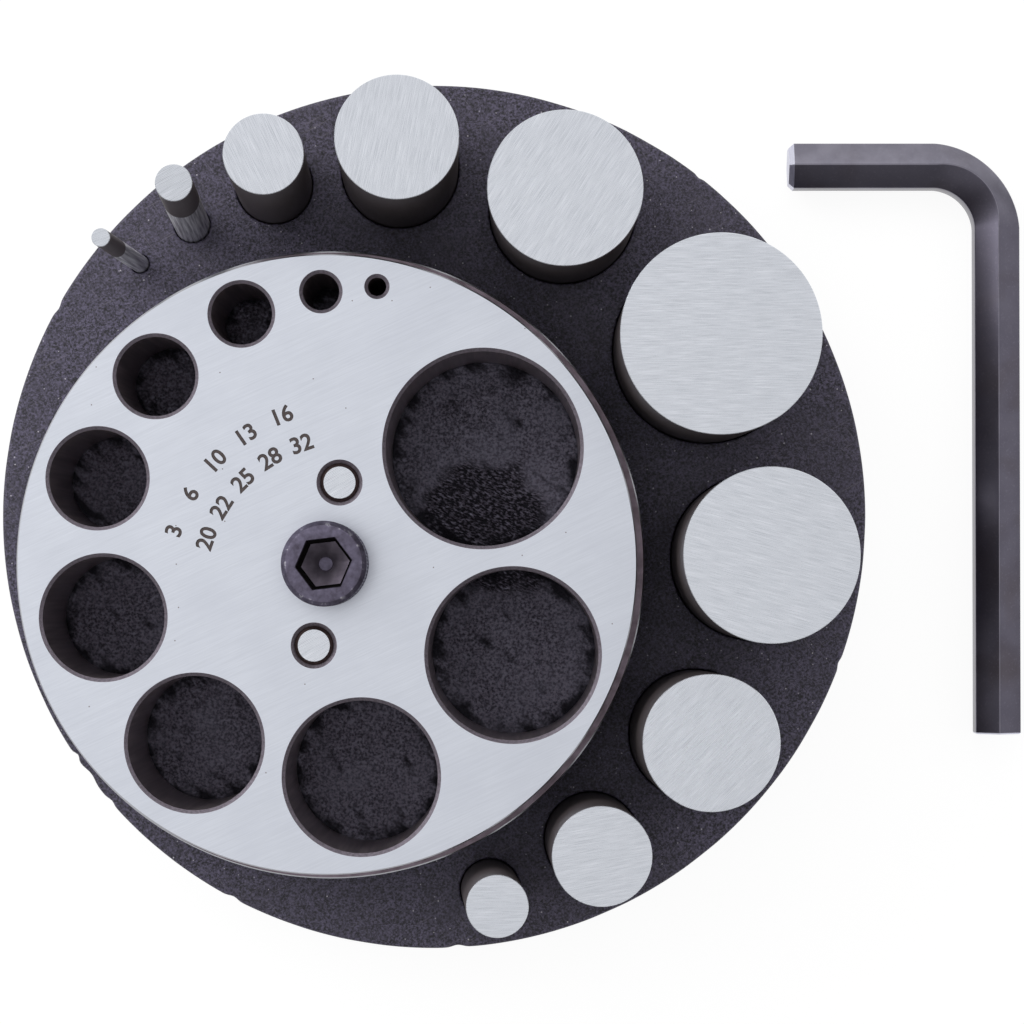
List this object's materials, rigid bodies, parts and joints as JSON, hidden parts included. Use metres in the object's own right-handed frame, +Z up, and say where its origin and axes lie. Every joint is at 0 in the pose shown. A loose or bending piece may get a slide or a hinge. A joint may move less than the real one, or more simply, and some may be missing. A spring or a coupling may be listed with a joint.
{
  "type": "disc cutter",
  "caption": "Round disc cutter for sheet metal: two clamped steel plates with graded holes, matching loose punches standing in a thick rubber base, and an L-shaped hex key.",
  "frame": {"origin": "centre of the round rubber base's underside, on the bench", "axes": "+Z up out of the bench, +X from the base towards the hex key, +Y towards the 20 mm punch"},
  "size_m": [0.1776, 0.1488, 0.0747],
  "materials": {
    "base_rubber": "matte black moulded rubber",
    "die_steel": "surface-ground tool steel",
    "pin_steel": "ground dowel steel",
    "punch_steel": "ground ends, darker turned sides",
    "black_oxide": "black oxide"
  },
  "bodies": {
    "base": {"rubber_base": "base_rubber"},
    "die_block": {"die_plate": "die_steel", "rear_alignment_pin": "pin_steel", "front_alignment_pin": "pin_steel"},
    "guide_plate": {"guide_plate": "die_steel"},
    "clamp_screw": {"clamp_screw": "black_oxide"},
    "punch_3mm": {"punch_3mm": "punch_steel"},
    "punch_6mm": {"punch_6mm": "punch_steel"},
    "punch_10mm": {"punch_10mm": "punch_steel"},
    "punch_13mm": {"punch_13mm": "punch_steel"},
    "punch_16mm": {"punch_16mm": "punch_steel"},
    "punch_20mm": {"punch_20mm": "punch_steel"},
    "punch_22mm": {"punch_22mm": "punch_steel"},
    "punch_25mm": {"punch_25mm": "punch_steel"},
    "punch_28mm": {"punch_28mm": "punch_steel"},
    "punch_32mm": {"punch_32mm": "punch_steel"},
    "hex_key": {"hex_key": "black_oxide"}
  },
  "joints": [
    {"name": "die_lift", "type": "slide", "parent": "base", "child": "die_block", "axis": [0, 0, 1], "range_m": [0, 0.02]},
    {"name": "guide_plate_rise", "type": "slide", "parent": "die_block", "child": "guide_plate", "axis": [0, 0, 1], "range_m": [0, 0.00635]},
    {"name": "clamp_screw_turn", "type": "hinge", "parent": "guide_plate", "child": "clamp_screw", "pos_m": [-0.01688, -0.00847, 0.05175], "axis": [0, 0, 1], "range_deg": [0, 1440]},
    {"name": "punch_3mm_lift", "type": "slide", "parent": "base", "child": "punch_3mm", "axis": [-0.0279, 0.0011, 0.9996], "range_m": [0, 0.02]},
    {"name": "punch_6mm_lift", "type": "slide", "parent": "base", "child": "punch_6mm", "axis": [0.0283, 0.0434, 0.9987], "range_m": [0, 0.02]},
    {"name": "punch_10mm_lift", "type": "slide", "parent": "base", "child": "punch_10mm", "axis": [0.0344, 0.0234, 0.9991], "range_m": [0, 0.02]},
    {"name": "punch_13mm_lift", "type": "slide", "parent": "base", "child": "punch_13mm", "axis": [0.031, -0.0021, 0.9995], "range_m": [0, 0.02]},
    {"name": "punch_16mm_lift", "type": "slide", "parent": "base", "child": "punch_16mm", "axis": [0.0181, 0.011, 0.9998], "range_m": [0, 0.02]},
    {"name": "punch_20mm_lift", "type": "slide", "parent": "base", "child": "punch_20mm", "axis": [0.0224, -0.0032, 0.9997], "range_m": [0, 0.02]},
    {"name": "punch_22mm_lift", "type": "slide", "parent": "base", "child": "punch_22mm", "axis": [0.0148, 0.0103, 0.9998], "range_m": [0, 0.02]},
    {"name": "punch_25mm_lift", "type": "slide", "parent": "base", "child": "punch_25mm", "axis": [-0.0011, -0.0252, 0.9997], "range_m": [0, 0.02]},
    {"name": "punch_28mm_lift", "type": "slide", "parent": "base", "child": "punch_28mm", "axis": [-0.0042, 0.0012, 1], "range_m": [0, 0.02]},
    {"name": "punch_32mm_lift", "type": "slide", "parent": "base", "child": "punch_32mm", "axis": [-0.0037, -0.0156, 0.9999], "range_m": [0, 0.02]},
    {"name": "hex_key_lift", "type": "slide", "parent": "base", "child": "hex_key", "axis": [0, 0, 1], "range_m": [0, 0.02]}
  ],
  "couplings": [
    {"joint": "clamp_screw_turn", "follows": "guide_plate_rise", "rad_per_m": 3957.9}
  ]
}
